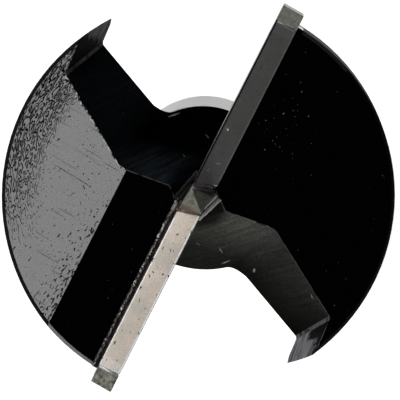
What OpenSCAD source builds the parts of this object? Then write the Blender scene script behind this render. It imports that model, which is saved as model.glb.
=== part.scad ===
// Two-wing forstner bit for blind hinge holes: a turned and milled steel body, two carbide
// cutters and a carbide centre point, all brazed into the head.
// The bit stands on its shank end, with its axis on Z, its tip up and its cutters along X.
// Seen from the tip it cuts anticlockwise. Heights on the head are measured down from the spurs.

/* [Overall] */
// Diameter of the hole, over the two spurs
cut_d = 35; // [33:0.5:40]
// Length from the shank's end to the spurs' tips
overall_len = 70; // [64:1:110]

/* [Shank and neck] */
// Diameter of the shank that the chuck grips
shank_d = 10; // [8:0.5:12]
// Length of the plain shank, up to the shoulder below the neck
shank_len = 35; // [25:1:40]
// Chamfer at the shank's end
shank_chamfer = 0.6; // [0.3:0.1:1.2]
// Diameter of the neck behind the head
neck_d = 14; // [13:0.5:16]

/* [Head] */
// Diameter of the steel head, inside the cutters' reach
head_d = 32.8; // [31:0.2:34]
// Height of the head, from its back face to the spurs
head_len = 10.7; // [10:0.1:13]
// Radius in the corner between the neck and the back face
back_fillet = 1.5; // [0.5:0.1:2.5]
// Chamfer round the back face
back_chamfer = 0.5; // [0.2:0.1:1]
// Height that the steel land starts below the cutter's back edge
land_drop = 0.25; // [0.1:0.05:0.6]
// Slope of the land behind a cutter
land_relief = 4; // [2:0.5:7]
// Distance of the crease between land and heel from the line of the cutters
crease_offset = 6.3; // [5:0.1:8]
// Slope of the heel, from the crease to the trailing edge
heel_relief = 18; // [12:0.5:22]

/* [Gullets] */
// Where the two walls of a gullet meet: distance past the axis, along the cutters
bend_x = 1.15; // [0.6:0.05:1.8]
// Where the two walls of a gullet meet: distance from the line of the cutters
bend_y = 7.2; // [6:0.1:8]
// Heading of the inner wall, from the line of the cutters
inner_heading = 99; // [92:1:105]
// Lean of the inner wall from the axis
inner_lean = 26; // [22:0.5:30]
// Heading of the outer wall, from the line of the cutters
outer_heading = 67; // [62:1:70]
// Lean of the outer wall from the axis
outer_lean = 29; // [25:0.5:32]
// Radius in the corner where the two walls meet
bend_fillet = 2.5; // [1:0.1:4]
// Distance of the wall that leaves the hooked lip, from the axis
hook_dist = 15.1; // [14.4:0.1:15.6]
// Heading of that wall, from the line of the cutters
hook_heading = 3; // [0:1:10]
// Lean of that wall from the axis
hook_lean = 14; // [10:0.5:20]
// Distance of the flat that thins the web beside the point, from the axis
web_dist = 2.1; // [1.9:0.05:2.5]
// Heading of that flat, from the line of the cutters
web_heading = 52; // [46:1:58]
// Lean of that flat from the axis
web_lean = 36; // [32:1:40]
// Depth of a wing's front face behind its cutter's
front_recess = 0.1; // [0.05:0.05:0.3]

/* [Cutters] */
// Thickness of a cutter
cutter_t = 1.9; // [1.7:0.05:2.4]
// Distance of a cutter's front face ahead of the axis
cutter_lead = 0.87; // [0.8:0.01:0.95]
// Height of a cutter below its lip
cutter_h = 7; // [5:0.1:8]
// Relief of the lip
lip_relief = 10; // [6:0.5:14]
// Height of a spur above the lip
spur_h = 0.6; // [0.3:0.05:1]
// Width of a spur at the cutter's outer end
spur_w = 1.35; // [1:0.05:1.8]
// Clearance behind a spur's outer corner
spur_clearance = 2.5; // [1:0.5:5]

/* [Centre point] */
// Height of the point's edge above the spurs
point_h = 2; // [1.2:0.1:3]
// Length of the point's edge
point_edge = 2.26; // [2:0.02:2.4]
// Heading of the point's edge, from the line of the cutters
point_heading = 48; // [44:1:52]
// Distance of the point's heels from the axis, along the line of the cutters
point_heel = 1.3; // [1.1:0.05:1.6]
// Slope of the point's two facets
point_slope = 40; // [30:1:50]
// Height of the point's stem below the lips
point_stem = 9; // [7.5:0.1:9.5]

/* [Braze] */
// Thickness of the braze behind a cutter
braze_back = 0.5; // [0.2:0.05:0.6]
// Thickness of the braze under a cutter
braze_floor = 0.2; // [0.1:0.05:0.4]
// Thickness of the braze between a cutter and the point
braze_end = 0.35; // [0.15:0.05:0.5]

/* [Hidden] */
$fn = 96;

shank_r = shank_d / 2;
neck_r = neck_d / 2;
head_r = head_d / 2;
cut_r = cut_d / 2;
reach = cut_d + overall_len;  // larger than the whole bit: the size of a cutting half-space

spur_z = overall_len;
lip_z = spur_z - spur_h;
back_z = spur_z - head_len;
shoulder_z = shank_len + neck_r - shank_r;

cutter_trail = cutter_t - cutter_lead;
cutter_base = lip_z - cutter_h;
pocket_floor = cutter_base - braze_floor;
pocket_back = cutter_trail + braze_back;
point_base = lip_z - point_stem;

// The cutter's back edge at its top, and the land that starts below it at the pocket's edge
cutter_heel_z = lip_z - cutter_t * tan(lip_relief);
land_z = cutter_heel_z - land_drop;
crease_z = land_z - (crease_offset - pocket_back) * tan(land_relief);

// The point's section: its edge runs between two corners, and its heels are in line with the
// cutters' backs, so that its two ends are skewed
edge_corner = point_edge / 2 * [cos(point_heading), sin(point_heading)];
heel_corner = [point_heel, -cutter_trail];
point_end = edge_corner - heel_corner;
point_skew = atan2(-point_end.x, point_end.y);

function unit(v) = v / norm(v);

// The direction into the gullet from a wall that leans out over it with depth
function wall_normal(heading, lean) =
    [-sin(heading) * cos(lean), cos(heading) * cos(lean), sin(lean)];

module twice() {
    children();
    rotate(180) children();
}

// Everything on the gullet's side of a leaning wall that runs through a spot at lip height
module beyond_wall(spot, heading, lean) {
    translate([spot.x, spot.y, lip_z]) rotate(heading) rotate([lean, 0, 0])
        translate([-reach, 0, -reach]) cube([2 * reach, reach, 2 * reach]);
}

// Everything above a slope that falls away behind the cutter on +X, from a line along X
module above_slope(y, z, angle) {
    translate([0, y, z]) rotate([angle, 0, 0])
        translate([-reach, -reach, 0]) cube([2 * reach, 2 * reach, reach]);
}

// The rounded corner between a gullet's two walls, and all that lies past it.
// The round stands a little proud of both walls, so that it meets them in a true edge.
module past_bend() {
    proud = 0.98;
    inner_n = wall_normal(inner_heading, inner_lean);
    outer_n = wall_normal(outer_heading, outer_lean);
    along = unit(cross(inner_n, outer_n));
    middle = unit(inner_n + outer_n);
    axis_dist = bend_fillet * proud / (middle * inner_n);
    chord_dist = axis_dist - bend_fillet * (middle * inner_n);
    translate([bend_x, -bend_y, lip_z]) multmatrix([
        [middle.x, cross(along, middle).x, along.x, 0],
        [middle.y, cross(along, middle).y, along.y, 0],
        [middle.z, cross(along, middle).z, along.z, 0],
    ]) {
        translate([axis_dist, 0, -reach]) cylinder(r = bend_fillet, h = 2 * reach);
        translate([chord_dist, -reach, -reach]) cube([reach, 2 * reach, 2 * reach]);
    }
}

// The open gullet between the wing behind the +X cutter and the front of the -X cutter
module gullet() {
    front = cutter_lead - front_recess;
    hook_spot = hook_dist * [sin(hook_heading), -cos(hook_heading)];
    web_spot = web_dist * [sin(web_heading), -cos(web_heading)];
    intersection() {
        translate([-reach, -reach - front, 0]) cube([2 * reach, reach, reach]);
        union() {
            intersection() {
                beyond_wall([bend_x, -bend_y], inner_heading, inner_lean);
                beyond_wall([bend_x, -bend_y], outer_heading, outer_lean);
                beyond_wall(hook_spot, hook_heading, hook_lean);
                past_bend();
            }
            beyond_wall(web_spot, web_heading, web_lean);
        }
    }
}

// What the milling and grinding of the head takes off both wings
module head_cuts() {
    twice() {
        gullet();
        above_slope(-pocket_back, land_z, land_relief);
        above_slope(-crease_offset, crease_z, heel_relief);
    }
}

// The open seat behind, under and beside the +X cutter
module pocket() {
    translate([0, -pocket_back, pocket_floor])
        cube([reach, pocket_back + cutter_lead, reach]);
}

// The skewed block of the centre point, from its base to a height
module point_block(top) {
    translate([0, 0, point_base]) linear_extrude(top - point_base)
        polygon([edge_corner, -heel_corner, -edge_corner, heel_corner]);
}

// The turned blank: shank, shoulder, neck and head
module blank() {
    fillet_steps = 8;
    fillet = [for (i = [0:fillet_steps]) let (a = 90 * i / fillet_steps)
        [neck_r + back_fillet * (1 - cos(a)), back_z - back_fillet * (1 - sin(a))]];
    rotate_extrude() polygon(concat(
        [[0, 0], [shank_r - shank_chamfer, 0], [shank_r, shank_chamfer], [shank_r, shank_len]],
        [[neck_r, shoulder_z]],
        fillet,
        [[head_r - back_chamfer, back_z], [head_r, back_z + back_chamfer], [head_r, lip_z], [0, lip_z]]
    ));
}

module body() {
    color("#1a1a1c") difference() {
        blank();
        head_cuts();
        twice() pocket();
        point_block(spur_z);
    }
}

// One carbide cutter, along +X: relieved lip, raised spur and an inner end that follows the point
module cutter() {
    spur_x = cut_r - spur_w;
    difference() {
        translate([0, -cutter_trail, cutter_base]) cube([cut_r, cutter_t, cutter_h + spur_h]);
        // the inner end, parallel to the point's skewed end
        translate(heel_corner) rotate(point_skew)
            translate([braze_end - reach, -reach, 0]) cube([reach, 2 * reach, reach]);
        // the lip's relief, up to the spur
        intersection() {
            above_slope(cutter_lead, lip_z, lip_relief);
            translate([0, -reach, 0]) cube([spur_x, 2 * reach, reach]);
        }
        // the spur's top, which rises from the lip to the outer corner
        translate([spur_x, -reach, lip_z]) rotate([0, -atan(spur_h / spur_w), 0])
            cube([reach, 2 * reach, reach]);
        // the clearance behind the outer corner
        translate([cut_r, cutter_lead, 0]) rotate(-spur_clearance)
            translate([0, -reach, 0]) cube([reach, 2 * reach, reach]);
    }
}

module cutter_a() {
    color("#7f7a76") cutter();
}

module cutter_b() {
    color("#7f7a76") rotate(180) cutter();
}

// The centre point: two facets that fall away from an edge across its short diagonal
module centre_point() {
    color("#8a8782") difference() {
        point_block(spur_z + point_h);
        translate([0, 0, spur_z + point_h]) rotate(point_heading)
            twice() rotate([point_slope, 0, 0])
                translate([-reach, -reach, 0]) cube([2 * reach, reach, reach]);
    }
}

// The braze that fills a cutter's seat up to the land
module braze() {
    difference() {
        intersection() {
            pocket();
            cylinder(r = head_r, h = lip_z);
        }
        head_cuts();
        cutter();
        point_block(spur_z);
    }
}

module braze_a() {
    color("#b09a84") braze();
}

module braze_b() {
    color("#b09a84") rotate(180) braze();
}

body();
cutter_a();
cutter_b();
centre_point();
braze_a();
braze_b();
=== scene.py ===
"""Looks of a two-winged forstner bit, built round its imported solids."""
import math
from functools import partial

import bmesh
import bpy
from bpy.props import FloatProperty, FloatVectorProperty, PointerProperty
from mathutils import Matrix, Vector, noise


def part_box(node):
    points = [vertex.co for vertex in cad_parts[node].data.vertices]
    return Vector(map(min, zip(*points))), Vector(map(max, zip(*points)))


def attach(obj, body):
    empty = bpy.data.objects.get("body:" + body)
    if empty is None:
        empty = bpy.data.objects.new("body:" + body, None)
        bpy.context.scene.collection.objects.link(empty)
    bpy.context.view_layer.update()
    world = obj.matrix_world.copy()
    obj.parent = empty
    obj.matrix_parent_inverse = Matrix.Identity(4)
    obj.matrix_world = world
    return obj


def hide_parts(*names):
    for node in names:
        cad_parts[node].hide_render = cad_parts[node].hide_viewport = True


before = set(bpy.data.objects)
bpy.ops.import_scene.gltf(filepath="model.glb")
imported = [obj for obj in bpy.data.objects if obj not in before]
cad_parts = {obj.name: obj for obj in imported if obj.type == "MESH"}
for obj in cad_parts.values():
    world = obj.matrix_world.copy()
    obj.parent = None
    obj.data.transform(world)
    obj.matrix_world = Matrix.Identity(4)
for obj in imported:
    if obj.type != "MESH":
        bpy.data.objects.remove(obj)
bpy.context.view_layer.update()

bl_info = {
    "name": "Forstner bit",
    "version": (1, 0, 0),
    "blender": (4, 5, 0),
    "location": "3D View > Sidebar > Forstner bit",
    "description": "Finishes the solids of a forstner bit and sets its stage",
    "category": "Object",
}

MM = 0.001
MERGE = 1e-6
# Angles between two faces that count as flat, creased, sharp and, on the braze, bent
FLAT = math.radians(0.5)
CREASE = math.radians(10)
SHARP = math.radians(20)
BEND = math.radians(60)

HEAD_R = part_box("body")[1].y
CUTTER_LOW, CUTTER_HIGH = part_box("cutter_a")
SEAT_BACK = -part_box("braze_a")[0].y
# Heights on the head count from a level 90 mm under the spurs
LEVEL = Vector((0, 0, CUTTER_HIGH.z - 90 * MM))
# Height of a cutter's lip at its middle, and its fall towards the back
LIP_Z = LEVEL.z + 89.247 * MM
LIP_FALL = math.tan(math.radians(10))
# The sloped web flat beside the point on the +X side, in millimetres from the level
WEB_PLACE = (0.0, -1.53, 87.81)
WEB_NORMAL = (-0.638, 0.498, 0.588)
# Runs of braze on that flat: both ends and the width. Then the steps along a run, and its
# cross-section in shares of half the width and of the height
WEB_RUNS = (((0.88, -1.69), (-1.78, -0.93), 0.34), ((1.0, -1.33), (-0.66, -0.93), 0.24))
RUN_STEPS = 14
RUN_SHAPE = ((-1, -0.05), (-0.5, 1), (0.5, 1), (1, -0.05))

# What tells the body's surfaces apart: heights from the level, radii, and the upright part of the
# normal at which one surface ends and the next starts
NECK_TOP = 79.4 * MM
HEAD_BACK = 79.2 * MM
HEEL_FOOT = 83 * MM
LAND_FOOT = 86 * MM
NECK_R = 7.5 * MM
RIM_FROM = 14 * MM
LAND_UP = 0.985
HEEL_UP = 0.93
WALL_UP = 0.7
HOOK_UP = 0.3
SEAT_UP = 0.2
RIM_UP = 0.1
FACING = 0.9

# Material slots of the body
ENAMEL, GULLET, HOOK, RIM_GROUND, NECK, FILLET, RIM_PAINT, CHIPPED = range(8)
BODY_SLOT = {"land": ENAMEL, "heel": ENAMEL, "rim": RIM_PAINT, "wall": GULLET, "seat": GULLET,
             "hook": HOOK, "neck": NECK}
# The lower edge of the rim's chamfer is raised by this share of it, and the chamfer is ground this
# far from the land's edge, in chamfers. On the rim means nearer to it than the slack
RIM_RAISE = 0.2
RIM_REACH = 1.5
RIM_SLACK = 0.01 * MM

# Where a spur starts along its cutter, how a top face and a spur's face lean, and a height under
# the lips
SPUR_FROM = 15 * MM
TOP_UP = 0.5
SPUR_LEAN = 0.2
LIP_FOOT = 88 * MM
# Each cutter's edge and pits, the share of its cells that have no pit, and how far its spur's tone
# spreads
CUTTERS = (
    ("cutter_a", "#202020", "#303030", 0.9, 0.35),
    ("cutter_b", "#ffffff", "#544c44", 0.05, 0.7),
)

# Braze in shares of its width behind a cutter: cuts along it, its two edges, where the bead starts
# and where the dip beside the carbide ends
BEAD_CUTS = (0.2, 0.4, 0.6, 0.8)
BEAD_EDGES = (0.05, 0.95)
BEAD_FROM = 0.35
DIP_TO = 0.4
# The dip, the lumps and the raised spill, in shares of the bead's height or spill
DIP = 0.8
LUMPS = 1.6
SPILL_RAISE = 0.25
# Height over which the braze is free, the reach of the joint beside the point, and how many times
# deeper it lies behind the axis
BRAZE_FOOT = 87 * MM
JOINT_REACH = 1.8 * MM
JOINT_GAP = 0.05 * MM
JOINT_DEEPER = 3
# Sizes of the lumps in the bead, in its spill and the runs, and of the paint chips
LUMP = 0.4 * MM
SPILL_LUMP = 0.3 * MM
CHIP = 0.3 * MM
CHIP_GROUP = 1.2 * MM

FLOOR_R = 3.0
FLOOR_UPSTAND = 0.12 * FLOOR_R
# Lamps: distance from the head, direction and size
LAMP_AWAY = 0.5
KEY_TILT = math.radians(40)
KEY_WAY = Vector((0, math.sin(KEY_TILT), math.cos(KEY_TILT)))
KEY_SIZE = (0.26, 0.26)
FILL_WAY = Vector((-0.8, -0.6, 0.14))
FILL_SIZE = (0.3, 0.2)

# Scuffs on the gullet walls, and in the last two rows painted highlights on the edge where a
# gullet's foot meets the neck, in millimetres from the level: middle, direction, half of the
# length and half of the width
SCUFFS_AND_HIGHLIGHTS = (
    ((-3.8, -7.12, 81.1), (0.54, 0.09, 0.84), 0.35, 0.12),
    ((-3.2, -12.25, 85.75), (0.58, 0.58, 0.58), 0.3, 0.06),
    ((-3.6, -3.85, 80.85), (0.32, 0.47, 0.83), 0.5, 0.05),
    ((-4.0, -1.89, 80.68), (0.1, 0.95, 0.3), 0.2, 0.05),
    # Painted highlights where the gullet's foot meets the neck
    ((-4.43, -4.73, 78.9), (0.46, -0.3, 0.84), 0.8, 0.06),
    ((4.68, 4.85, 78.34), (0.44, -0.47, -0.77), 0.8, 0.08),
)

# Flecks on the first cutter, in the same way
FLECKS = (
    ((6.28, 0.36, 89.3), (0.7, 0.7, 0.1), 0.17, 0.07),
    ((3.37, -0.3, 89.2), (0.6, -0.8, 0.0), 0.13, 0.05),
    ((2.51, 0.27, 89.3), (1.0, 0.2, 0.0), 0.1, 0.05),
)


def linear(code):
    """An sRGB hex colour as linear RGBA."""
    parts = [int(code[i:i + 2], 16) / 255 for i in (1, 3, 5)]
    return [c / 12.92 if c <= 0.04045 else ((c + 0.055) / 1.055) ** 2.4 for c in parts] + [1.0]


def colour(name, description, code):
    return FloatVectorProperty(
        name=name, description=description, subtype="COLOR", size=4, min=0, max=1,
        default=linear(code))


def length(name, description, millimetres):
    return FloatProperty(
        name=name, description=description, unit="LENGTH", min=0, precision=5,
        default=millimetres * MM)


class BitSizes(bpy.types.PropertyGroup):
    """Small sizes that the solids leave to the finish."""

    rim_chamfer: length("Rim chamfer", "Chamfer round the front of the head", 0.3)
    edge_round: length("Edge round", "Radius on the painted edges", 0.07)
    worn_edge: length("Worn edge", "Rubbed strip along the gullet edges", 0.06)
    crease_round: length("Crease round", "Radius between a land and its heel", 0.03)
    hook_fillet: length("Hook fillet", "Radius in the valley before each hook", 0.2)
    chip_depth: length("Chip depth", "Deepest paint chip on the trailing edge at +Y", 0.15)
    chip_edge: length("Chip edge", "Width of the bare steel along the chips", 0.1)
    chip_pitch: length("Chip pitch", "Spacing of the chips", 0.12)
    carbide_edge: length("Carbide edge", "Honed edge on the carbide", 0.07)
    step_groove: length("Step groove", "Width and depth of the groove before each spur", 0.2)
    paint_end: length("Paint end", "Paint on the neck stops here, over the level", 75.5)
    bead_height: length("Bead height", "Height of the braze bead over its seat", 0.16)
    joint_sink: length("Joint sink", "Braze below the lips, beside the point", 0.04)
    run_height: length("Run height", "Height of the braze that ran down the web", 0.07)
    bead_spill: length("Bead spill", "Braze that lies over the seat's edge", 0.06)
    bead_pitch: length("Bead pitch", "Spacing of the braze bead's lumps", 0.12)


class BitColours(bpy.types.PropertyGroup):
    """Colours of the finishes."""

    enamel: colour("Enamel", "Gloss black on the wings", "#020202")
    gullet: colour("Gullet", "Flat black in the gullets", "#444642")
    ground_steel: colour("Ground steel", "Ground band round the rim", "#98989a")
    # Bluer, and darker than the gullet at -Y as painted shade
    gullet_b_shaded: colour("Gullet b", "Thicker, bluer black in the gullet at +Y", "#23282c")
    hook: colour("Hook", "Bare steel on the hook walls", "#6c6d70")
    worn: colour("Worn steel", "Steel that shows through the black", "#5d5f5d")
    # This colour also draws two painted highlights where the gullets meet the neck
    scuff_and_highlight: colour("Scuff", "Scratches down to the steel in the gullets", "#a2a2a0")
    turned_steel: colour("Turned steel", "Neck and shank", "#d1cfce")
    cutter_a: colour("Cutter a", "Ground carbide of the first cutter", "#a5a4a2")
    cutter_b: colour("Cutter b", "Ground carbide of the second, warmer from the brazing", "#d3c7bb")
    # Darker than the second spur as painted shade, against the low fill that lights the first more
    spur_a: colour("Spur a", "Unground top of the first spur", "#7c7c74")
    spur_b: colour("Spur b", "Unground top of the second spur", "#b3b3a6")
    point: colour("Point", "Facets of the centre point", "#9c9c91")
    braze: colour("Braze", "Braze bead", "#a9a6a2")
    flux: colour("Flux", "Burnt flux beside the carbide", "#1a120c")
    joint: colour("Joint", "Braze between the point and a cutter", "#8f7b72")
    joint_a: colour("Joint a", "The same beside the first cutter, darker", "#5a525d")
    run: colour("Run", "Braze that ran down the web", "#b4b6b7")


class BitStage(bpy.types.PropertyGroup):
    """Floor, light and camera."""

    floor: colour("Floor", "Pale floor", "#f4f4f4")
    floor_glow: FloatProperty(
        name="Floor glow", description="Light that tops the floor up to white", default=0.8, min=0)
    key_level: FloatProperty(
        name="Key level", description="Radiance of the softbox", default=5.2, min=0)
    fill_level: FloatProperty(
        name="Fill level", description="Radiance of the low fill", default=7.0, min=0)
    horizon: FloatProperty(
        name="Horizon", description="Radiance of the surroundings on the bright side",
        default=0.6, min=0)
    lens: FloatProperty(
        name="Lens", description="Focal length on a 36 mm sensor", default=413.5, min=1)
    turn: FloatProperty(
        name="Turn", description="Roll of the camera over the bit", subtype="ANGLE",
        default=1.1018)
    nod: FloatProperty(
        name="Nod", description="Tilt of the camera, up and down", subtype="ANGLE",
        default=0.0695)
    sway: FloatProperty(
        name="Sway", description="Tilt of the camera, sideways", subtype="ANGLE",
        default=-0.0217)
    camera_offset: FloatVectorProperty(
        name="Camera offset", description="Camera from the spurs, in its own axes",
        unit="LENGTH", size=3, precision=5,
        default=(-0.2545 * MM, 0.0442 * MM, -378.5 * MM))


# Nodes and materials

def add(tree, kind, inputs, out=0, **settings):
    """One node with its settings and links. Returns one of its outputs. A list gives the inputs in
    order: a MapRange takes its value, the two ends of its range and what those two ends become. A
    Mix of colours takes its factor at 0 and the colours at 6 and 7, and gives a colour at 2."""
    made = tree.nodes.new("ShaderNode" + kind)
    for name, value in settings.items():
        setattr(made, name, value)
    for key, value in inputs.items() if isinstance(inputs, dict) else enumerate(inputs):
        if isinstance(value, bpy.types.NodeSocket):
            tree.links.new(value, made.inputs[key])
        else:
            made.inputs[key].default_value = value
    return made.outputs[out] if len(made.outputs) else made


def start_material(name):
    """An empty node material, what adds its nodes, and its Object coordinates in millimetres, from
    the level."""
    made = bpy.data.materials.new(name)
    made.use_nodes = True
    made.node_tree.nodes.clear()
    node = partial(add, made.node_tree)
    place = node("TexCoord", {}, "Object")
    place = node("VectorMath", [place, LEVEL], operation="SUBTRACT")
    return made, node, node("VectorMath", {0: place, "Scale": 1 / MM}, operation="SCALE")


def end_material(node, **sockets):
    """The one surface shader. Names use _ for a space."""
    inputs = {key.replace("_", " "): value for key, value in sockets.items()}
    shader = node("BsdfPrincipled", inputs)
    node("OutputMaterial", {"Surface": shader})


def strokes(node, place, base, spots, tint):
    """Short strokes of a tint over a base colour, each with its own place and a ragged outline:
    scratches, flecks and painted highlights. Returns the new colour, and a mask that is 1 between
    the strokes."""
    clear = 1.0
    wander = 0.2
    ragged = node("TexNoise", {"Vector": place, "Scale": 1 / 0.15, "Detail": 2.0}, "Color")
    ragged = node("VectorMath", [ragged, [wander] * 3, place], operation="MULTIPLY_ADD")
    ragged = node("VectorMath", [ragged, [wander / 2] * 3], operation="SUBTRACT")
    for centre, along, long, wide in spots:
        turn = Vector((1, 0, 0)).rotation_difference(Vector(along)).to_euler()
        stroke = node("Mapping", {"Vector": ragged, "Location": centre, "Rotation": turn,
                                  "Scale": (long, wide, wide)}, vector_type="TEXTURE")
        stroke = node("VectorMath", [stroke], "Value", operation="LENGTH")
        stroke = node("MapRange", [stroke, 1.2, 0.6])
        base = node("Mix", {0: stroke, 6: base, 7: tint}, 2, data_type="RGBA")
        clear = node("Math", [clear, stroke], operation="SUBTRACT", use_clamp=True)
    return base, clear


def gloss_enamel(colours):
    """Stoved black enamel, sprayed on: a deep gloss that mirrors the softbox, with orange peel that
    crawled into short worms at the outer end of each heel, pits, hair scratches and some dust."""
    made, node, place = start_material("gloss_black_enamel")
    # In millimetres: the marks, the start of the heel behind the axis, and where dust gathered
    worm_long, worm_wide = 0.6, 0.2
    pit_long, pit_wide = 0.34, 0.16
    crease = 6.3
    dusty = (8.6, -4.2, 88.5)
    # Both wings are one wing turned by half a turn, so the masks use coordinates folded by that
    side = node("SeparateXYZ", [place], "Y")
    side = node("Math", [side], operation="SIGN")
    folded = node("VectorMath", {0: place, "Scale": side}, operation="SCALE")
    plan = node("VectorMath", [folded, (1, 1, 0)], operation="MULTIPLY")
    radius = node("VectorMath", [plan], "Value", operation="LENGTH")
    outer = node("MapRange", [radius, 12.5, 16.0])
    ahead = node("SeparateXYZ", [folded], "X")
    ahead = node("MapRange", [ahead, -11.0, 1.5])
    crawled = node("Math", [outer, ahead], operation="MULTIPLY")
    # The wing at +Y has the rougher coat
    coat = node("MapRange", [side, -1.0, 1, 0.06, 1.0])
    crawled = node("Math", [crawled, coat], operation="MULTIPLY")
    # The worms lie along the rim, in polar coordinates
    apart = node("SeparateXYZ", [place], "X")
    angle = node("Math", [apart.node.outputs["Y"], apart], operation="ARCTAN2")
    angle = node("Math", [angle, HEAD_R / MM / worm_long], operation="MULTIPLY")
    radius = node("Math", [radius, 1 / worm_wide], operation="MULTIPLY")
    polar = node("CombineXYZ", {"X": angle, "Y": radius})
    worm = node("TexNoise", {"Vector": polar, "Scale": 1.0, "Detail": 0.4, "Distortion": 0.3})
    worm = node("MapRange", [worm, 0.4, 0.64], interpolation_type="SMOOTHSTEP")
    depth = node("MapRange", [crawled, 0, 1, 0.0, 0.1])
    height = node("Math", [worm, depth], operation="MULTIPLY")
    peel = node("TexNoise", {"Vector": place, "Scale": 1 / 0.3, "Detail": 2.0})
    height = node("Math", [peel, 0.014, height], operation="MULTIPLY_ADD")
    # Pits on the heels, most of them by the outer half of the crease
    apart = node("SeparateXYZ", [folded], "X")
    off = apart.node.outputs["Y"]
    near = node("MapRange", [off, 9.0, 6.5])
    along = node("MapRange", [apart, -3.0, -10.0])
    near = node("Math", [near, along], operation="MULTIPLY")
    start = node("MapRange", [near, 0, 1, 0.71, 0.56])
    stop = node("Math", [start, 0.09], operation="ADD")
    grain = node("Mapping", {"Vector": place, "Rotation": (0, 0, math.radians(-12)),
                             "Scale": (pit_long, pit_wide, 1.0)}, vector_type="TEXTURE")
    pit = node("TexNoise", {"Vector": grain, "Scale": 1.0, "Detail": 1.0})
    pit = node("MapRange", [pit, start, stop, 0.0, -0.15])
    heel = node("Math", [off, crease], operation="GREATER_THAN")
    for part in (heel, coat):
        pit = node("Math", [pit, part], operation="MULTIPLY")
    height = node("Math", [height, pit], operation="ADD")
    # Hair scratches, drawn 0.14 mm wide so that they show
    lines = node("Mapping", {"Vector": place, "Rotation": (0, 0, math.radians(88)),
                             "Scale": (6.0, 0.14, 100.0)}, vector_type="TEXTURE")
    lines = node("TexNoise", {"Vector": lines, "Scale": 1.0, "Detail": 1.5})
    lines = node("MapRange", [lines, 0.68, 0.8, 0.0, -0.01])
    for part in (heel, coat):
        lines = node("Math", [lines, part], operation="MULTIPLY")
    height = node("Math", [height, lines], operation="ADD")
    bump = node("Bump", {"Height": height, "Distance": MM, "Strength": 1.0})
    # Dust specks of about 0.15 mm, thickest behind the first cutter
    dust = node("TexNoise", {"Vector": place, "Scale": 1 / 0.2, "Detail": 1.0})
    drift = node("VectorMath", [place, dusty], "Value", operation="DISTANCE")
    drift = node("MapRange", [drift, 1.5, 4.5, 0.725, 0.79])
    shade_side_and_dust_edge = node("Math", [drift, 0.06], operation="ADD")
    dust = node("MapRange", [dust, drift, shade_side_and_dust_edge])
    base = node("Mix", {0: dust, 6: colours.enamel, 7: linear("#8b8b8d")}, 2, data_type="RGBA")
    # A thin, grainy haze on the rougher heel
    haze = node("TexNoise", {"Vector": place, "Scale": 1 / 0.14, "Detail": 3.0})
    haze = node("MapRange", [haze, 0.4, 0.75, 0.0, 0.055])
    clear = node("MapRange", [crawled, 0, 0.25, 1.0, 0.0])
    for part in (side, heel, clear):
        haze = node("Math", [haze, part], operation="MULTIPLY", use_clamp=True)
    base = node("Mix", {0: 1.0, 6: base, 7: haze}, 2, data_type="RGBA", blend_type="ADD")
    # The pits are rough inside
    rough = node("MapRange", [peel, 0, 1, 0.04, 0.1])
    rough = node("Math", [pit, -4.0, rough], operation="MULTIPLY_ADD")
    end_material(node, Base_Color=base, Roughness=rough, Normal=bump)
    return made


def thin_enamel(colours):
    """Paint pulled thin round the rim: flat black, a dark line at the edge of each wing."""
    made, node, _ = start_material("thin_black_enamel")
    end_material(node, Base_Color=colours.enamel, Roughness=0.5, Specular_IOR_Level=0.06)
    return made


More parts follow.
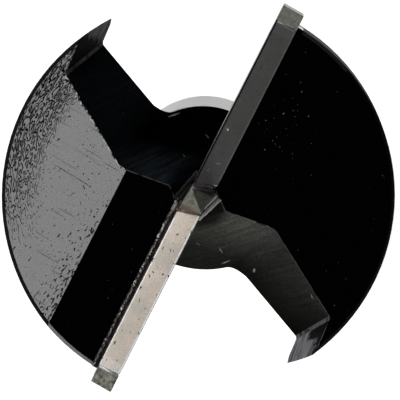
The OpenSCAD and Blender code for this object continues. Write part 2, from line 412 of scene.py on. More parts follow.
def flat_gullet(colours):
    """Thin black over milled steel: flat, with the cutter's marks running across the wall, and
    darker towards the foot, the web and the rim, and all over at +Y, as painted shade."""
    made, node, place = start_material("flat_black_gullet")
    along = node("Mapping", {"Vector": place, "Rotation": (0, 0, math.radians(-40)),
                             "Scale": (7.0, 0.28, 5.0)}, vector_type="TEXTURE")
    marks = node("TexNoise", {"Vector": along, "Scale": 1.0, "Detail": 3.0})
    fine = node("TexNoise", {"Vector": place, "Scale": 1 / 0.18, "Detail": 2.0})
    fine = node("MapRange", [fine, 0.3, 0.7, 0.6, 1.4])
    plan = node("VectorMath", [place, (1, 1, 0)], operation="MULTIPLY")
    radius = node("VectorMath", [plan], "Value", operation="LENGTH")
    # Painted shade: darker towards the rim
    outer = node("MapRange", [radius, 5.0, 8.5, 1.25, 0.56])
    # Painted shade: the gullet at +Y is darker, and there the tone falls from higher up towards the
    # foot, where only the outer wall stays light
    height = node("SeparateXYZ", [place], "Z")
    shade_side_and_dust_edge = node("MapRange", [height.node.outputs["Y"], -0.5, 0.5])
    low = node("MapRange", [shade_side_and_dust_edge, 0, 1, 80.0, 83.0])
    wall = node("MapRange", [radius, 7.0, 10.0, 0.04, 1.2])
    least = node("MapRange", [shade_side_and_dust_edge, 0, 1, 0.3, wall])
    calm = node("MapRange", [radius, 6.0, 9.0, 0.3, 0.8])
    dark = node("MapRange", [shade_side_and_dust_edge, 0, 1, 0.78, calm])
    light = node("Math", [2.0, dark], operation="SUBTRACT")
    tone = node("MapRange", [marks, 0.3, 0.7, dark, light])
    # Painted shade: darker towards the foot, and near the web
    foot = node("MapRange", [height, low, 87.5, least, 1.0])
    web = node("MapRange", [radius, 2.3, 3.2, 0.18, 1.0])
    for part in (fine, outer, foot, web):
        tone = node("Math", [tone, part], operation="MULTIPLY")
    # The darker colour at +Y is painted shade
    base = node("Mix", {0: shade_side_and_dust_edge, 6: colours.gullet, 7: colours.gullet_b_shaded}, 2, data_type="RGBA")
    base = node("VectorMath", {0: base, "Scale": tone}, operation="SCALE")
    # Nicks down to the grey: 0.1 mm wide and short, in few cells of a 4 mm pattern
    nick = node("Mapping", {"Vector": place, "Rotation": (0.3, 0.2, 0.9), "Scale": (6.0, 1.2, 4.0)},
                vector_type="TEXTURE")
    nick = node("TexVoronoi", {"Vector": nick, "Scale": 1.0}, "Distance")
    chosen = node("SeparateColor", [nick.node.outputs["Color"]], "Red")
    size = node("MapRange", [chosen, 0.6, 1, 0.0, 0.1])
    nick = node("Math", [nick, size], operation="LESS_THAN")
    base = node("Mix", {0: nick, 6: base, 7: colours.worn}, 2, data_type="RGBA")
    # Scuffs down to the steel, and two painted highlights where the gullet meets the neck
    base, _ = strokes(node, place, base, SCUFFS_AND_HIGHLIGHTS, colours.scuff_and_highlight)
    bump = node("Bump", {"Height": marks, "Distance": 0.012 * MM, "Strength": 1.0})
    rough = node("MapRange", [marks, 0, 1, 0.6, 0.75])
    end_material(node, Base_Color=base, Roughness=rough, Normal=bump, Specular_IOR_Level=0.0)
    return made


def chipped_steel(colours):
    """Steel where the paint broke off along the trailing edge: a light line, in broken lengths."""
    made, node, place = start_material("chipped_steel")
    bare = node("TexNoise", {"Vector": place, "Scale": 1 / 0.5, "Detail": 2.0})
    bare = node("MapRange", [bare, 0.4, 0.5])
    base = node("Mix", {0: bare, 6: colours.enamel, 7: linear("#e6e6e3")}, 2, data_type="RGBA")
    end_material(node, Base_Color=base, Roughness=0.5, Specular_IOR_Level=0.2)
    return made


def worn_steel(colours):
    """The fillet before each hook and the edges of the gullets, rubbed through: dull grey steel in
    broken patches."""
    made, node, place = start_material("rubbed_steel")
    worn = node("TexNoise", {"Vector": place, "Scale": 1 / 0.6, "Detail": 3.0})
    worn = node("MapRange", [worn, 0.36, 0.5])
    base = node("Mix", {0: worn, 6: colours.enamel, 7: colours.worn}, 2, data_type="RGBA")
    end_material(node, Base_Color=base, Roughness=0.6, Specular_IOR_Level=0.1)
    return made


def ground_hook(colours):
    """Hook walls: dull ground steel with curved wheel marks, under what is left of the paint. One
    hook has lost most of it, and the other has lost it at the tip."""
    made, node, place = start_material("dull_ground_steel")
    arc = node("Mapping", {"Vector": place, "Rotation": (0, math.radians(12), 0),
                           "Scale": (2.5, 0.6, 0.4)}, vector_type="TEXTURE")
    marks = node("TexNoise", {"Vector": arc, "Scale": 1.0, "Detail": 4.0, "Distortion": 0.6})
    ragged = node("TexNoise", {"Vector": place, "Scale": 1 / 0.7, "Detail": 4.0})
    # The paint ends at a ragged height, and at +Y only the tip is bare
    apart = node("SeparateXYZ", [place], "X")
    height = apart.node.outputs["Z"]
    bare = node("Math", [ragged, 5.0, height], operation="MULTIPLY_ADD")
    bare = node("MapRange", [bare, 87.7, 87.2])
    kept = node("Math", [ragged, 1.5, apart], operation="MULTIPLY_ADD")
    kept = node("MapRange", [kept, 8.1, 8.7])
    stripped = node("Math", [apart.node.outputs["Y"], 0.0], operation="LESS_THAN")
    kept = node("Math", [kept, stripped], operation="MAXIMUM")
    bare = node("Math", [bare, kept], operation="MULTIPLY")
    # On the stripped hook a patch of paint is left along the upper part of the fillet
    fillet_way = (-0.677, 0.0, 0.255)
    slant = node("VectorMath", [place, fillet_way], "Value", operation="DOT_PRODUCT")
    slant = node("Math", [ragged, 0.8, slant], operation="MULTIPLY_ADD")
    patch = node("MapRange", [slant, 26.25, 26.1])
    upper = node("Math", [ragged, 2.0, height], operation="MULTIPLY_ADD")
    upper = node("MapRange", [upper, 83.1, 83.6])
    for part in (upper, stripped):
        patch = node("Math", [patch, part], operation="MULTIPLY")
    bare = node("Math", [bare, patch], operation="SUBTRACT", use_clamp=True)
    tone = node("MapRange", [marks, 0.36, 0.62, 0.35, 1.4])
    lighter = node("MapRange", [stripped, 0, 1, 2.6, 1.6])
    tone = node("Math", [tone, lighter], operation="MULTIPLY")
    steel = node("Mix", {0: 1.0, 6: colours.hook, 7: tone}, 2, data_type="RGBA",
                 blend_type="MULTIPLY")
    base = node("Mix", {0: bare, 6: colours.enamel, 7: steel}, 2, data_type="RGBA")
    rough = node("MapRange", [marks, 0, 1, 0.55, 0.75])
    bump = node("Bump", {"Height": marks, "Distance": 0.01 * MM, "Strength": 1.0})
    end_material(node, Base_Color=base, Roughness=rough, Normal=bump, Specular_IOR_Level=0.03)
    return made


def ground_rim(colours):
    """The rim behind each cutter, where the wheel that cleared it took the paint off: dull grey."""
    made, node, place = start_material("ground_steel_rim")
    marks = node("TexNoise", {"Vector": place, "Scale": 1 / 0.3, "Detail": 3.0})
    steel = node("Mix", {0: marks, 6: colours.ground_steel, 7: colours.hook}, 2, data_type="RGBA")
    side = node("SeparateXYZ", [place], "Y")
    kept = node("MapRange", [side, 1.0, -1.0, 0, 0.9])
    steel = node("Mix", {0: kept, 6: steel, 7: colours.enamel}, 2, data_type="RGBA")
    rough = node("MapRange", [marks, 0, 1, 0.45, 0.65])
    end_material(node, Base_Color=steel, Roughness=rough, Specular_IOR_Level=0.2)
    return made


def turned_neck(colours, paint_end):
    """Turned steel: fine rings round the neck and shank, and the paint's ragged end on the neck."""
    made, node, place = start_material("turned_steel")
    height = node("SeparateXYZ", [place], "Z")
    rings = node("Mapping", {"Vector": place, "Scale": (0.15, 0.15, 9.0)})
    rings = node("TexNoise", {"Vector": rings, "Scale": 1.0, "Detail": 4.0, "Roughness": 0.65})
    ragged = node("TexNoise", {"Vector": place, "Scale": 1 / 1.2, "Detail": 3.0})
    wander, blur = 0.5, 0.04
    edge = node("Math", [ragged, wander, height], operation="MULTIPLY_ADD")
    end = paint_end / MM + wander / 2
    bare = node("MapRange", [edge, end + blur, end - blur])
    tone = node("MapRange", [rings, 0.3, 0.7, 0.8, 1.0])
    steel = node("Mix", {0: 1.0, 6: colours.turned_steel, 7: tone}, 2, data_type="RGBA",
                 blend_type="MULTIPLY")
    base = node("Mix", {0: bare, 6: colours.enamel, 7: steel}, 2, data_type="RGBA")
    rough = node("MapRange", [rings, 0, 1, 0.22, 0.42])
    rough = node("Mix", {0: bare, 2: 0.25, 3: rough}, 0)
    bump = node("Bump", {"Height": rings, "Distance": 0.004 * MM, "Strength": 1.0})
    end_material(node, Base_Color=base, Metallic=bare, Roughness=rough, Normal=bump)
    return made


def ground_carbide(name, tint, front, pitted, few, flecks):
    """Ground tungsten carbide: a grey metal, softly blurred, with a few torn-out pits."""
    made, node, place = start_material("ground_tungsten_carbide_" + name)
    cloud = node("TexNoise", {"Vector": place, "Scale": 1 / 2.2, "Detail": 2.0})
    cool = [tint[0] * 0.8, tint[1] * 0.86, tint[2] * 0.87, 1.0]
    base = node("MapRange", [cloud, 0.42, 0.66])
    base = node("Mix", {0: base, 6: tint, 7: cool}, 2, data_type="RGBA")
    # The back edge is lighter, a painted highlight line, and a strip before the spur that was
    # ground last is brighter
    apart = node("SeparateXYZ", [place], "X")
    along = node("Math", [apart], operation="ABSOLUTE")
    side = node("Math", [apart], operation="SIGN")
    across = node("Math", [apart.node.outputs["Y"], side], operation="MULTIPLY")
    edge_highlight_and_strip = node("MapRange", [across, -0.88, -0.94])
    part = node("MapRange", [along, 1.9, 2.4])
    edge_highlight_and_strip = node("Math", [edge_highlight_and_strip, part], operation="MULTIPLY")
    for low, high, most in ((15.0, 15.2, 0.3), (15.82, 15.88, 1.0)):
        part = node("MapRange", [along, low, high, 0, most])
        edge_highlight_and_strip = node("Math", [edge_highlight_and_strip, part], operation="MAXIMUM")
    bright = [min(1.0, sum(tint[:3]) / 2)] * 3 + [1.0]
    base = node("Mix", {0: edge_highlight_and_strip, 6: base, 7: bright}, 2, data_type="RGBA")
    # The cutting edge itself: honed bright, or dulled by use
    edge = node("MapRange", [across, 0.7, 0.75])
    top = node("MapRange", [apart.node.outputs["Z"], 89.1, 89.2])
    edge = node("Math", [edge, top], operation="MULTIPLY")
    base = node("Mix", {0: edge, 6: base, 7: front}, 2, data_type="RGBA")
    # Comma-shaped pits of 0.15 by 0.3 mm
    bent = node("TexNoise", {"Vector": place, "Scale": 1 / 0.5, "Detail": 1.0}, "Color")
    bent = node("VectorMath", [bent, (0.9, 0.5, 0.0), place], operation="MULTIPLY_ADD")
    bent = node("Mapping", {"Vector": bent, "Rotation": (0, 0, math.radians(20)),
                            "Scale": (1.2, 0.5, 3.0)}, vector_type="TEXTURE")
    pit = node("TexVoronoi", {"Vector": bent, "Scale": 1.0}, "Distance", voronoi_dimensions="2D")
    chosen = node("SeparateColor", [pit.node.outputs["Color"]], "Red")
    size = node("MapRange", [chosen, few, 1, 0.0, 0.13])
    pit = node("Math", [size, pit], operation="SUBTRACT")
    pit = node("MapRange", [pit, 0.0, 0.025])
    lip = node("MapRange", [apart.node.outputs["Z"], 88.6, 88.8])
    pit = node("Math", [pit, lip], operation="MULTIPLY")
    base = node("Mix", {0: pit, 6: base, 7: pitted}, 2, data_type="RGBA")
    base, metal = strokes(node, place, base, flecks, linear("#e4e4e0"))
    grain = node("TexNoise", {"Vector": place, "Scale": 1 / 0.12, "Detail": 2.0})
    tone = node("MapRange", [grain, 0.3, 0.7, 0.86, 1.14])
    base = node("VectorMath", {0: base, "Scale": tone}, operation="SCALE")
    rough = node("MapRange", [grain, 0, 1, 0.44, 0.54])
    deep = node("Math", [pit, -0.03], operation="MULTIPLY")
    bump = node("Math", [grain, 0.004, deep], operation="MULTIPLY_ADD")
    bump = node("Bump", {"Height": bump, "Distance": MM, "Strength": 1.0})
    end_material(node, Base_Color=base, Metallic=metal, Roughness=rough, Normal=bump)
    return made


def sintered_carbide(name, tint, metallic, spread, stain=None):
    """Carbide as it came from the furnace: greenish grey, grainy and duller than a ground lip."""
    made, node, place = start_material("sintered_tungsten_carbide_" + name)
    grain = node("TexNoise", {"Vector": place, "Scale": 1 / 0.3, "Detail": 3.0})
    tone = node("MapRange", [grain, 0.32, 0.68, 1 - spread, 1 + spread])
    base = node("VectorMath", {0: tint[:3], "Scale": tone}, operation="SCALE")
    if stain:
        # Heat from the brazing browned the ends of the point
        apart = node("SeparateXYZ", [place], "X")
        along = node("Math", [apart], operation="ABSOLUTE")
        edge = node("Math", [grain, 0.3, along], operation="MULTIPLY_ADD")
        edge = node("MapRange", [edge, 0.92, 1.02])
        end = node("Math", [apart, 0.0], operation="GREATER_THAN")
        stain = node("Mix", {0: end, 6: stain[0], 7: stain[1]}, 2, data_type="RGBA")
        base = node("Mix", {0: edge, 6: base, 7: stain}, 2, data_type="RGBA")
    bump = node("Bump", {"Height": grain, "Distance": 0.02 * MM, "Strength": 1.0})
    end_material(node, Base_Color=base, Metallic=metallic, Roughness=0.62, Normal=bump)
    return made


def braze_metal(colours):
    """Silver braze: brownish between point and cutter, burnt flux beside the carbide, and a bright
    lumpy bead at the seat's edge, which is painted over on one wing."""
    made, node, place = start_material("silver_braze")
    apart = node("SeparateXYZ", [place], "Y")
    off = node("Math", [apart], operation="ABSOLUTE")
    lumps = node("TexNoise", {"Vector": place, "Scale": 1 / 0.3, "Detail": 3.0})
    edge = node("Math", [lumps, 0.7, off], operation="MULTIPLY_ADD")
    # The bright bead is on the wing at +Y, in broken lumps. It stops short of the point, and is
    # thickest at that end
    along = apart.node.outputs["X"]
    back = -CUTTER_LOW.y / MM
    start = back + 0.66
    first = node("MapRange", [along, -2.0, -1.6])
    edge = node("Math", [first, 0.3, edge], operation="MULTIPLY_ADD")
    clean = node("MapRange", [edge, start, start + 0.08])
    shown = node("Math", [apart, 0.0], operation="GREATER_THAN")
    inner = node("Math", [along, -0.7], operation="LESS_THAN")
    gap = node("TexNoise", {"Vector": place, "Scale": 1 / 0.16, "Detail": 1.0})
    gap = node("Math", [first, 0.1, gap], operation="MULTIPLY_ADD")
    gap = node("MapRange", [gap, 0.44, 0.56])
    for part in (shown, inner, gap):
        clean = node("Math", [clean, part], operation="MULTIPLY")
    between = node("Math", [off, back - 0.1], operation="LESS_THAN")
    base = node("Mix", {0: shown, 6: colours.enamel, 7: colours.flux}, 2, data_type="RGBA")
    base = node("Mix", {0: clean, 6: base, 7: colours.braze}, 2, data_type="RGBA")
    end = node("Math", [along, 0.0], operation="GREATER_THAN")
    joint = node("Mix", {0: end, 6: colours.joint, 7: colours.joint_a}, 2, data_type="RGBA")
    base = node("Mix", {0: between, 6: base, 7: joint}, 2, data_type="RGBA")
    rough = node("MapRange", [lumps, 0, 1, 0.35, 0.6])
    smooth = node("Math", [shown, between], operation="MAXIMUM")
    rough = node("Mix", {0: smooth, 2: 0.1, 3: rough}, 0)
    lumps = node("Math", [lumps, smooth], operation="MULTIPLY")
    bump = node("Bump", {"Height": lumps, "Distance": 0.1 * MM, "Strength": 1.0})
    metal = node("Math", [clean, first], operation="SUBTRACT", use_clamp=True)
    end_material(node, Base_Color=base, Metallic=metal, Roughness=rough, Normal=bump)
    return made


def braze_run(colours):
    """Braze that ran down the web beside the point: dull, light grey and grainy."""
    made, node, place = start_material("braze_run")
    grain = node("TexNoise", {"Vector": place, "Scale": 1 / 0.15, "Detail": 3.0})
    tone = node("MapRange", [grain, 0.3, 0.7, 0.3, 1.0])
    side = node("SeparateXYZ", [place], "Y")
    kept = node("MapRange", [side, -0.1, 0.1, 0, 0.97])
    base = node("Mix", {0: kept, 6: colours.run, 7: colours.enamel}, 2, data_type="RGBA")
    base = node("VectorMath", {0: base, "Scale": tone}, operation="SCALE")
    bump = node("Bump", {"Height": grain, "Distance": 0.04 * MM, "Strength": 1.0})
    end_material(node, Base_Color=base, Roughness=0.6, Normal=bump)
    return made


# Meshes

def cad_copy(name):
    """A CAD node's triangles as one closed mesh, with its flat faces whole."""
    bm = bmesh.new()
    bm.from_mesh(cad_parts[name].data)
    bmesh.ops.remove_doubles(bm, verts=bm.verts, dist=MERGE)
    bmesh.ops.dissolve_limit(bm, angle_limit=FLAT, verts=bm.verts, edges=bm.edges)
    return bm


def finish_piece(name, bm, node, materials, bevel, by_weight=False):
    """The mesh as an object that stands for its node, with rounded edges and flat faces."""
    mesh = bpy.data.meshes.new(name)
    bm.to_mesh(mesh)
    bm.free()
    for material in materials:
        mesh.materials.append(material)
    mesh.polygons.foreach_set("use_smooth", [True] * len(mesh.polygons))
    piece = bpy.data.objects.new(name, mesh)
    bpy.context.scene.collection.objects.link(piece)
    rounding = piece.modifiers.new("edge rounding", "BEVEL")
    rounding.width = bevel
    rounding.segments = 2
    rounding.profile = 0.5
    rounding.material = -1
    rounding.use_clamp_overlap = False
    rounding.limit_method = "WEIGHT" if by_weight else "ANGLE"
    rounding.angle_limit = SHARP
    shading = piece.modifiers.new("flat faces", "WEIGHTED_NORMAL")
    shading.keep_sharp = True
    shading.weight = 100
    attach(piece, "root")
    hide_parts(node)


def kind_of(face):
    """Which surface of the body a face belongs to, by where it is and which way it looks."""
    n, c = face.normal, face.calc_center_median() - LEVEL
    radius = math.hypot(c.x, c.y)
    if c.z < NECK_TOP and n.z < SEAT_UP:
        back = n.z < -FACING and c.z > HEAD_BACK and radius > NECK_R
        return "rim" if back else "neck"
    if n.z > LAND_UP and c.z > LAND_FOOT:
        return "land"
    if n.z > HEEL_UP and c.z > HEEL_FOOT:
        return "heel"
    if SEAT_UP < n.z < HOOK_UP:
        return "hook"
    if HOOK_UP < n.z < WALL_UP:
        return "wall"
    outward = abs(n.x * c.x + n.y * c.y) > FACING * radius
    return "rim" if outward and radius > RIM_FROM and n.z < RIM_UP else "seat"


def kinds(edge, kind):
    """The surfaces that meet at an edge."""
    return {face[kind].decode() for face in edge.link_faces}


def chip_edge(bm, edges, depth, pitch):
    """Breaks the paint along a trailing edge: the edge is cut into short lengths, and each end
    is pushed into the wing by its own amount."""
    for edge in edges:
        wing = max(edge.link_faces, key=lambda f: f.normal.z).normal.copy()
        wall = min(edge.link_faces, key=lambda f: f.normal.z).normal.copy()
        inward = -(wall - wing * wall.dot(wing)).normalized()
        cuts = max(1, int(edge.calc_length() / pitch))
        made = bmesh.ops.subdivide_edges(bm, edges=[edge], cuts=cuts)
        for vert in made["geom_inner"]:
            if isinstance(vert, bmesh.types.BMVert):
                spot = vert.co - LEVEL
                chance = noise.noise(spot / CHIP) + 0.5 * noise.noise(spot / CHIP_GROUP)
                vert.co += inward * depth * min(1.0, max(0.0, chance) * 2)


class FORSTNER_OT_body(bpy.types.Operator):
    """Finish the painted head, neck and shank"""

    bl_idname = "forstner.body"
    bl_label = "Body"

    def execute(self, context):
        sizes, colours = context.scene.bit_sizes, context.scene.bit_colours
        bm = cad_copy("body")
        kind = bm.faces.layers.string.new("kind")
        for face in bm.faces:
            face[kind] = kind_of(face).encode()
            face.material_index = BODY_SLOT[kind_of(face)]

        def bevel(edges, width, mark, slot, segments=1, clamp=False):
            """Bevels edges, marks the new faces and returns them."""
            made = bmesh.ops.bevel(
                bm, geom=edges, offset=width, offset_type="OFFSET", affect="EDGES",
                segments=segments, profile=0.5, material=-1, clamp_overlap=clamp)["faces"]
            for face in made:
                face[kind] = mark
                face.material_index = slot
            return made

        def meeting(first, others):
            """The edges at which one surface meets another."""
            return [e for e in bm.edges if first in kinds(e, kind) and kinds(e, kind) & others]

        def heel_edges(least):
            """The trailing edge of the heel at +Y, in lengths over the least."""
            return [e for e in meeting("wall", {"heel"})
                    if e.verts[0].co.y > 0 and e.calc_length() > least]

        rim = meeting("rim", {"land", "heel"})
        spots = [(e.verts[0].co + e.verts[1].co) / 2 for e in rim if "land" in kinds(e, kind)]
        made = bevel(rim, sizes.rim_chamfer, b"chamfer", RIM_PAINT)
        for vert in {v for f in made for v in f.verts}:
            if math.hypot(vert.co.x, vert.co.y) > HEAD_R - RIM_SLACK:
                vert.co.z += RIM_RAISE * sizes.rim_chamfer
        for face in made:
            centre = face.calc_center_median()
            if min((centre - spot).length for spot in spots) < RIM_REACH * sizes.rim_chamfer:
                face.material_index = RIM_GROUND
        valley = [e for e in meeting("hook", {"wall"}) if not e.is_convex]
        bevel(valley, sizes.hook_fillet, b"fillet", FILLET, segments=3)
        heel = heel_edges(MM)
        worn = [e for e in meeting("wall", {"land", "heel"})
                if e.calc_length() > MM and e not in heel]
        bevel(worn, sizes.worn_edge, b"fillet", FILLET)
        chip_edge(bm, heel_edges(MM), sizes.chip_depth, sizes.chip_pitch)
        bevel(heel_edges(0), sizes.chip_edge, b"fillet", CHIPPED, clamp=True)
        weight = bm.edges.layers.float.new("bevel_weight_edge")
        for edge in bm.edges:
            angle = edge.calc_face_angle(0)
            pair = kinds(edge, kind)
            if pair == {"land", "heel"}:
                edge[weight] = sizes.crease_round / sizes.edge_round
            elif angle > SHARP and not pair & {"fillet", "seat", "neck"}:
                edge[weight] = 1.0
            elif angle > CREASE and pair != {"fillet"}:
                edge.smooth = False
        finish_piece("painted_body", bm, "body", [
            gloss_enamel(colours), flat_gullet(colours), ground_hook(colours),
            ground_rim(colours), turned_neck(colours, sizes.paint_end), worn_steel(colours),
            thin_enamel(colours), chipped_steel(colours),
        ], sizes.edge_round, by_weight=True)
        return {"FINISHED"}


class FORSTNER_OT_cutters(bpy.types.Operator):
    """Finish the two carbide cutters"""

    bl_idname = "forstner.cutters"
    bl_label = "Cutters"

    def execute(self, context):
        sizes, colours = context.scene.bit_sizes, context.scene.bit_colours
        for name, front, pitted, few, spread in CUTTERS:
            spur = name.replace("cutter", "spur")
            bm = cad_copy(name)
            side = 1 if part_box(name)[1].x > CUTTER_LOW.x else -1
            step = next(v.co.x for v in bm.verts if {True, False} == {
                self.on_spur(f) for f in v.link_faces if f.normal.z > TOP_UP})
            for share in (1, 0.5):
                place = Vector((step - side * share * sizes.step_groove, 0, 0))
                made = bmesh.ops.bisect_plane(
                    bm, geom=bm.verts[:] + bm.edges[:] + bm.faces[:], dist=MERGE,
                    plane_co=place, plane_no=Vector((1, 0, 0)))
            for vert in made["geom_cut"]:
                if isinstance(vert, bmesh.types.BMVert) and vert.co.z > LEVEL.z + LIP_FOOT:
                    vert.co.z -= sizes.step_groove
            bm.normal_update()
            for face in bm.faces:
                face.material_index = 1 if self.on_spur(face) else 0
            finish_piece("carbide_" + name, bm, name, [
                ground_carbide(name, getattr(colours, name), linear(front), linear(pitted), few,
                               FLECKS if name == "cutter_a" else ()),
                sintered_carbide(spur, getattr(colours, spur), metallic=0.0, spread=spread),
            ], sizes.carbide_edge)
        return {"FINISHED"}

    def on_spur(self, face):
        """Whether a face is the sloped top of a spur."""
        sloped = face.normal.z > TOP_UP and abs(face.normal.x) > SPUR_LEAN
        return sloped and abs(face.calc_center_median().x) > SPUR_FROM


class FORSTNER_OT_point(bpy.types.Operator):
    """Finish the centre point"""

    bl_idname = "forstner.point"
    bl_label = "Centre point"

    def execute(self, context):
        sizes, colours = context.scene.bit_sizes, context.scene.bit_colours
        carbide = sintered_carbide("point", colours.point, metallic=1.0, spread=0.35,
                                   stain=(colours.joint, colours.joint_a))
        finish_piece("carbide_point", cad_copy("centre_point"), "centre_point",
                     [carbide], sizes.carbide_edge)
        return {"FINISHED"}


class FORSTNER_OT_braze(bpy.types.Operator):
    """Lay the braze behind each cutter"""

    bl_idname = "forstner.braze"
    bl_label = "Braze"

    def execute(self, context):
        sizes, colours = context.scene.bit_sizes, context.scene.bit_colours
        metal, run = braze_metal(colours), braze_run(colours)
        back, front = SEAT_BACK, -CUTTER_LOW.y
        for name, side in (("braze_a", 1), ("braze_b", -1)):
            bm = cad_copy(name)
            low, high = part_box(name)
            steps = int((high.x - low.x) / sizes.bead_pitch)
            planes = [(Vector((low.x + (i + 0.5) * sizes.bead_pitch, 0, 0)), Vector((1, 0, 0)))
                      for i in range(steps)]
            planes += [(Vector((0, -side * (front + (back - front) * share), 0)), Vector((0, 1, 0)))
                       for share in BEAD_CUTS]
            for place, normal in planes:
                bmesh.ops.bisect_plane(
                    bm, geom=bm.verts[:] + bm.edges[:] + bm.faces[:], dist=MERGE,
                    plane_co=place, plane_no=normal)
            for vert in bm.verts:
                upright = any(f.normal.z > FACING for f in vert.link_faces)
                if upright and vert.co.z > LEVEL.z + BRAZE_FOOT:
                    off = -side * vert.co.y
                    self.lay(vert, off, (off - front) / (back - front), side, sizes)
            bm.normal_update()
            for edge in bm.edges:
                edge.smooth = edge.calc_face_angle(0) < BEND
            self.run(bm, side, sizes)
            finish_piece("bead_" + name, bm, name, [metal, run], 0.0)
        return {"FINISHED"}

    def lay(self, vert, off, share, side, sizes):
        """Moves one vertex of the braze's top into the bead, its spill over the seat or the joint
        beside the point. The wing at -Y is painted smooth over its braze."""
        shown = side < 0
        beside_point = abs(vert.co.x) < JOINT_REACH and off < -CUTTER_LOW.y - JOINT_GAP
        spot = vert.co - LEVEL
        if BEAD_EDGES[0] < share < BEAD_EDGES[1]:
            lump = max(0.0, 1.0 + LUMPS * noise.noise(spot / LUMP))
            bead = math.sin(math.pi * min(1.0, max(0.0, (share - BEAD_FROM) / (1 - BEAD_FROM))))
            dip = DIP * max(0.0, 1 - share / DIP_TO)
            vert.co.z += shown * sizes.bead_height * (bead * lump - dip)
        elif share >= BEAD_EDGES[1] and shown:
            vert.co.y -= side * sizes.bead_spill * (noise.noise(spot / SPILL_LUMP) + 0.5)
            vert.co.z += SPILL_RAISE * sizes.bead_spill
        elif share <= BEAD_EDGES[0] and beside_point:
            vert.co.z = LIP_Z - LIP_FALL * off - sizes.joint_sink * (JOINT_DEEPER if off > 0 else 1)

    def run(self, bm, side, sizes):
        """Two thin ridges of braze down the sloped web beside the point, each extruded in steps."""
        for start, end, width in WEB_RUNS:
            start, end = (Vector((*spot, 0)) * MM * side for spot in (start, end))
            across = (end - start).cross(Vector((0, 0, 1))).normalized() * width * MM / 2
            before = set(bm.faces)
            tip = bm.faces.new([bm.verts.new() for _ in RUN_SHAPE])
            for i in range(RUN_STEPS + 1):
                if i > 0:
                    made = bmesh.ops.extrude_face_region(bm, geom=[tip, *tip.edges])["geom"]
                    tip = next(part for part in made if isinstance(part, bmesh.types.BMFace))
                centre = start.lerp(end, i / RUN_STEPS)
                jitter = 1 + 0.5 * noise.noise(centre / SPILL_LUMP)
                for vert, (offset, lift) in zip(tip.verts, RUN_SHAPE):
                    vert.co = centre + across * offset * jitter
                    vert.co.z = self.web_height(vert.co, side) + lift * sizes.run_height * jitter
            made = [face for face in bm.faces if face not in before]
            for face in made:
                face.material_index = 1
            bmesh.ops.recalc_face_normals(bm, faces=made)

    def web_height(self, spot, side):
        """Height of the sloped web at a spot, from its plane."""
        flat = Vector((spot.x * side, spot.y * side, 0)) - Vector(WEB_PLACE) * MM
        slope = Vector(WEB_NORMAL)
        return LEVEL.z + WEB_PLACE[2] * MM - (slope.x * flat.x + slope.y * flat.y) / slope.z


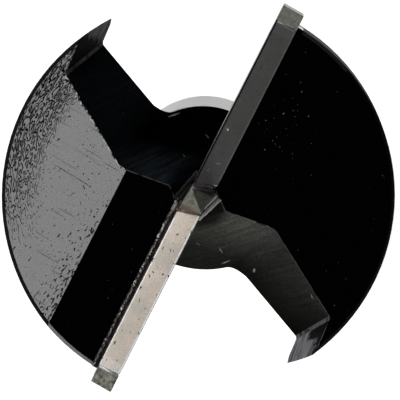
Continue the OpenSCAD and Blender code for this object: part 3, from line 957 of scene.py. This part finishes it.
class FORSTNER_OT_stage(bpy.types.Operator):
    """Set the floor, the light and the camera"""

    bl_idname = "forstner.stage"
    bl_label = "Stage"

    def execute(self, context):
        scene, stage = context.scene, context.scene.bit_stage
        self.floor(scene, stage)
        head = Vector((0, 0, CUTTER_HIGH.z))
        self.softbox(scene, "key softbox", head, KEY_WAY, KEY_SIZE, stage.key_level)
        self.softbox(scene, "low fill", head, FILL_WAY, FILL_SIZE, stage.fill_level)
        self.world(scene, stage)
        self.camera(scene, stage)
        scene.view_settings.view_transform = "Standard"
        return {"FINISHED"}

    def floor(self, scene, stage):
        """A wide pale floor with a low upstand round it. Its own light and shadow are topped up to
        white for the camera, and in part for mirrors, which see one bright side and one dark."""
        bm = bmesh.new()
        bmesh.ops.create_circle(bm, cap_ends=True, segments=96, radius=FLOOR_R)
        made = bmesh.ops.extrude_edge_only(bm, edges=[e for e in bm.edges if e.is_boundary])
        wall = [v for v in made["geom"] if isinstance(v, bmesh.types.BMVert)]
        bmesh.ops.translate(bm, verts=wall, vec=(0, 0, FLOOR_UPSTAND))
        mesh = bpy.data.meshes.new("floor")
        bm.to_mesh(mesh)
        bm.free()
        made, node, place = start_material("pale_floor")
        seen = node("LightPath", {}, "Is Camera Ray")
        side = node("SeparateXYZ", [place], "Y")
        side = node("MapRange", [side, -150.0, 150.0, 0.1, 0.8])
        mirror = seen.node.outputs["Is Glossy Ray"]
        mirror = node("Math", [mirror, side], operation="MULTIPLY")
        seen = node("Math", [seen, mirror], operation="MAXIMUM")
        white = node("Math", [seen, stage.floor_glow], operation="MULTIPLY")
        paper = node("BsdfDiffuse", {"Color": stage.floor})
        light = node("Emission", {"Strength": white})
        surface = node("AddShader", [paper, light])
        node("OutputMaterial", {"Surface": surface})
        mesh.materials.append(made)
        floor = bpy.data.objects.new("floor", mesh)
        scene.collection.objects.link(floor)

    def softbox(self, scene, name, target, direction, size, level):
        """A rectangular lamp of one radiance, turned to the head."""
        lamp = bpy.data.lights.new(name, "AREA")
        lamp.shape = "RECTANGLE"
        lamp.size, lamp.size_y = size
        lamp.energy = level * math.pi * size[0] * size[1]
        made = bpy.data.objects.new(name, lamp)
        made.location = target + direction.normalized() * LAMP_AWAY
        made.rotation_euler = (-direction).to_track_quat("-Z", "Y").to_euler()
        made.visible_camera = False
        scene.collection.objects.link(made)

    def world(self, scene, stage):
        """A studio with a black ceiling: a pale horizon on one side and a dark one on the other."""
        world = bpy.data.worlds.new("studio")
        world.use_nodes = True
        world.node_tree.nodes.clear()
        node = partial(add, world.node_tree)
        way = node("TexCoord", {}, "Generated")
        apart = node("SeparateXYZ", [way], "X")
        level = node("MapRange", [apart, 0.4, -0.9, 0.05, stage.horizon])
        fall = node("MapRange", [apart.node.outputs["Z"], 0.0, 0.5, 1.0, 0.0],
                    interpolation_type="SMOOTHSTEP")
        level = node("Math", [level, fall, 0.008], operation="MULTIPLY_ADD")
        sky = node("Background", {"Strength": level})
        node("OutputWorld", {"Surface": sky})
        scene.world = world

    def camera(self, scene, stage):
        """The photograph's view: from over the tip, nearly along the axis."""
        lens = bpy.data.cameras.new("camera")
        lens.lens = stage.lens
        lens.sensor_width = 36.0
        lens.clip_start, lens.clip_end = 0.01, 20.0
        to_camera = (Matrix.Rotation(stage.nod, 3, "X") @ Matrix.Rotation(stage.sway, 3, "Y")
                     @ Matrix.Rotation(stage.turn, 3, "Z"))
        turned = to_camera.transposed()
        made = bpy.data.objects.new("camera", lens)
        made.location = Vector((0, 0, CUTTER_HIGH.z)) - turned @ Vector(stage.camera_offset)
        made.rotation_euler = turned.to_euler()
        scene.collection.objects.link(made)
        scene.camera = made


class FORSTNER_PT_panel(bpy.types.Panel):
    """Lists the bit's pieces and settings"""

    bl_idname = "FORSTNER_PT_panel"
    bl_label = "Forstner bit"
    bl_space_type = "VIEW_3D"
    bl_region_type = "UI"
    bl_category = "Forstner bit"

    def draw(self, context):
        for operator in OPERATORS:
            self.layout.operator(operator.bl_idname)
        for group in (context.scene.bit_sizes, context.scene.bit_colours, context.scene.bit_stage):
            box = self.layout.box()
            for name in group.__annotations__:
                box.prop(group, name)


GROUPS = {"bit_sizes": BitSizes, "bit_colours": BitColours, "bit_stage": BitStage}
OPERATORS = (FORSTNER_OT_body, FORSTNER_OT_cutters, FORSTNER_OT_point, FORSTNER_OT_braze,
             FORSTNER_OT_stage)


def register():
    for cls in (*GROUPS.values(), *OPERATORS, FORSTNER_PT_panel):
        bpy.utils.register_class(cls)
    for name, group in GROUPS.items():
        setattr(bpy.types.Scene, name, PointerProperty(type=group))


def unregister():
    for name in GROUPS:
        delattr(bpy.types.Scene, name)
    for cls in (FORSTNER_PT_panel, *reversed(OPERATORS), *GROUPS.values()):
        bpy.utils.unregister_class(cls)


def main():
    register()
    bpy.ops.forstner.body()
    bpy.ops.forstner.cutters()
    bpy.ops.forstner.point()
    bpy.ops.forstner.braze()
    bpy.ops.forstner.stage()


if __name__ == "__main__":
    main()
